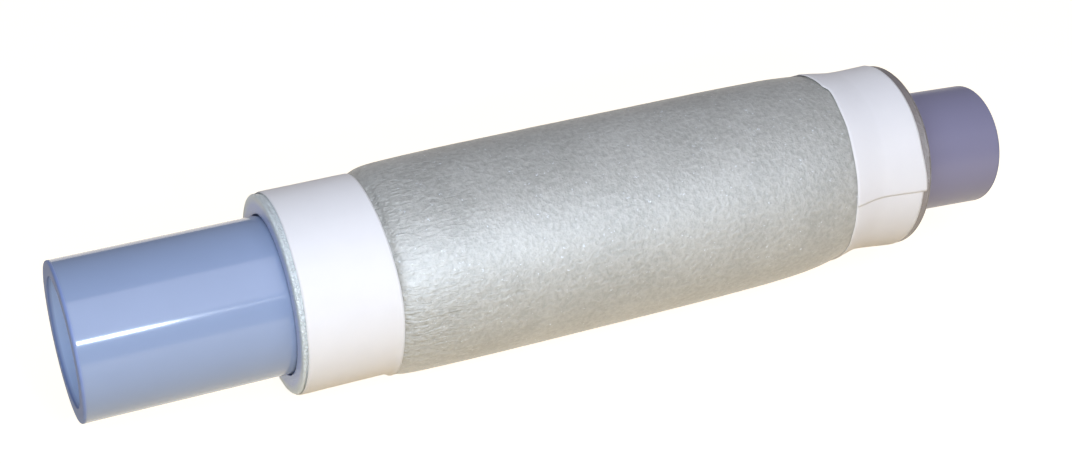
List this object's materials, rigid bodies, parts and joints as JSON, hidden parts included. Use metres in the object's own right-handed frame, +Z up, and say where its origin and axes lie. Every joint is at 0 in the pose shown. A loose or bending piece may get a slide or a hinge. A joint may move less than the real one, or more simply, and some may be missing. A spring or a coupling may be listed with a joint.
{
  "type": "condensate drain adapter",
  "caption": "Insulated adapter that joins a larger drain pipe to a smaller one through a soft reducing hose inside a taped foam sleeve.",
  "frame": {"origin": "centre of the large pipe's free end, on its axis", "axes": "+X along the large pipe's axis towards the small pipe, +Z up, with the part lying on its foam sleeve"},
  "size_m": [0.2043, 0.044, 0.0435],
  "materials": {
    "grey_pvc": "extruded rigid PVC, glossy, pale blue-grey",
    "dark_grey_pvc": "extruded rigid PVC, satin, darker purple-grey",
    "soft_pvc": "soft moulded PVC, matte grey",
    "polyethylene_foam": "closed-cell foam skin, finely pebbled with a soft sheen",
    "white_tape": "white pressure-sensitive tape, smooth satin"
  },
  "bodies": {
    "root": {"large_pipe": "grey_pvc", "small_pipe": "dark_grey_pvc", "reducing_hose": "soft_pvc", "foam_sleeve": "polyethylene_foam", "large_end_tape": "white_tape", "small_end_tape": "white_tape"}
  },
  "joints": []
}
